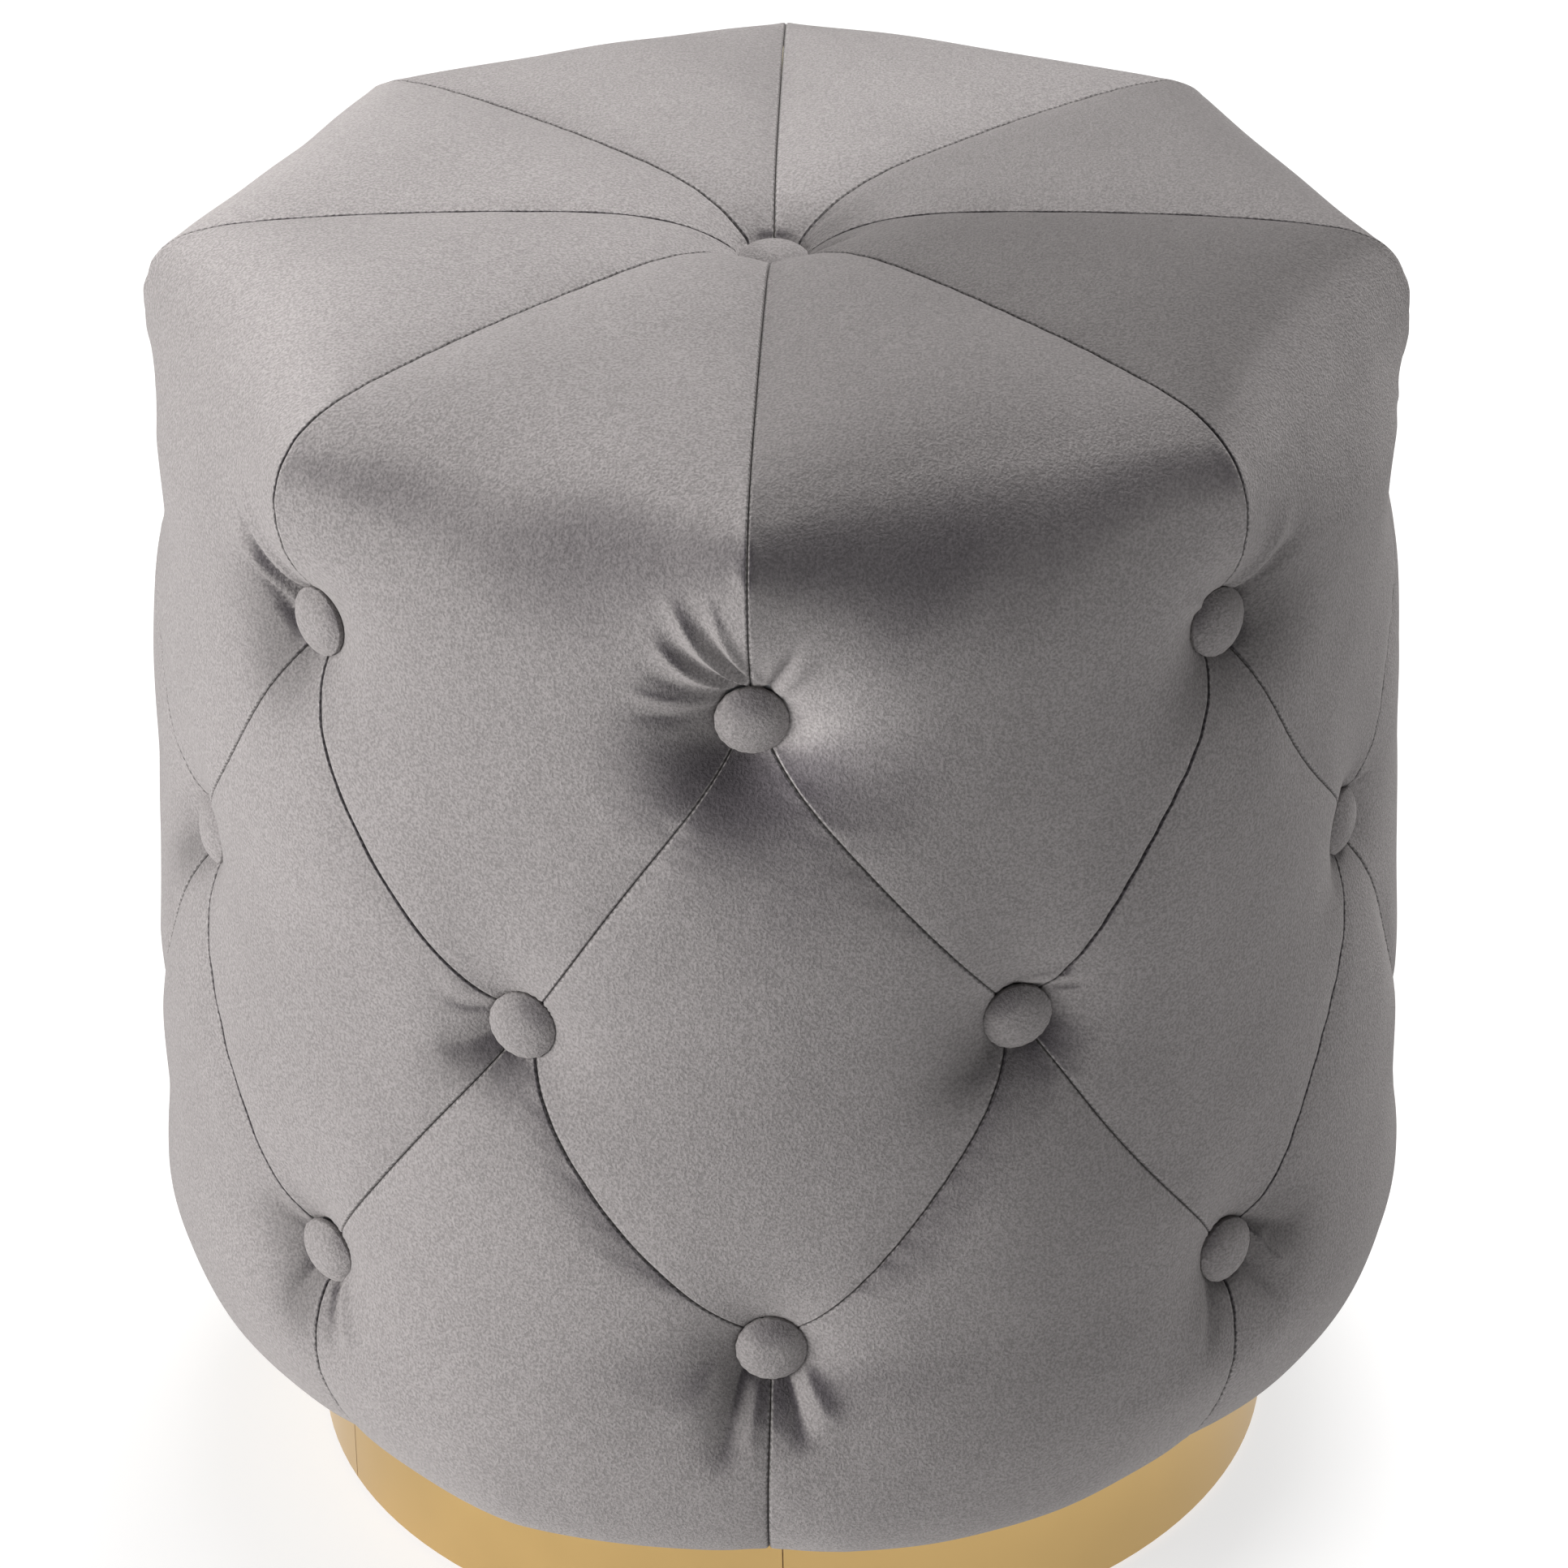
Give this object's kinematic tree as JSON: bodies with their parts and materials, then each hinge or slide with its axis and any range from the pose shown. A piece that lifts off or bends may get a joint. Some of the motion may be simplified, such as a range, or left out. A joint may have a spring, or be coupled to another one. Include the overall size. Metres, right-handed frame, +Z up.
{
  "type": "pouf",
  "caption": "Round, eight-sided upholstered pouf in button-tufted velvet over a padded wooden frame, on a straight gold-clad plinth.",
  "frame": {"origin": "on the floor, under the middle of the plinth", "axes": "+Z up along the drum's axis of eight-fold symmetry; -Y is the front, where a top seam runs down to a button of the upper row"},
  "size_m": [0.413, 0.413, 0.437],
  "materials": {
    "velvet": "short-pile grey velvet",
    "button_velvet": "the same velvet, pulled smooth",
    "wadding": "polyester fibre wadding",
    "foam": "open-cell upholstery foam",
    "plywood": "raw plywood",
    "pine": "sawn pine",
    "gold": "satin gold",
    "steel": "zinc-plated",
    "twine": "waxed cord",
    "toggle": "moulded",
    "felt": "dense felt",
    "dust_cloth": "non-woven cloth"
  },
  "bodies": {
    "root": {"top_panel_1": "velvet", "top_panel_2": "velvet", "top_panel_3": "velvet", "top_panel_4": "velvet", "top_panel_5": "velvet", "top_panel_6": "velvet", "top_panel_7": "velvet", "top_panel_8": "velvet", "diamond_panel_1": "velvet", "diamond_panel_2": "velvet", "diamond_panel_3": "velvet", "diamond_panel_4": "velvet", "diamond_panel_5": "velvet", "diamond_panel_6": "velvet", "diamond_panel_7": "velvet", "diamond_panel_8": "velvet", "skirt_panel_1": "velvet", "skirt_panel_2": "velvet", "skirt_panel_3": "velvet", "skirt_panel_4": "velvet", "skirt_panel_5": "velvet", "skirt_panel_6": "velvet", "skirt_panel_7": "velvet", "skirt_panel_8": "velvet", "top_button": "button_velvet", "upper_row_buttons": "button_velvet", "middle_row_buttons": "button_velvet", "lower_row_buttons": "button_velvet", "top_wadding": "wadding", "diamond_wadding": "wadding", "skirt_wadding": "wadding", "seat_foam": "foam", "side_foam": "foam", "seat_board": "plywood", "frame_wall": "plywood", "base_board": "plywood", "plinth_hoop": "plywood", "frame_posts": "pine", "plinth_cleats": "pine", "plinth_band": "gold", "button_loops": "steel", "frame_screws": "steel", "plinth_screws": "steel", "cover_staples": "steel", "hem_staples": "steel", "button_twines": "twine", "twine_toggles": "toggle", "floor_glides": "felt", "dust_cover": "dust_cloth"}
  },
  "joints": []
}
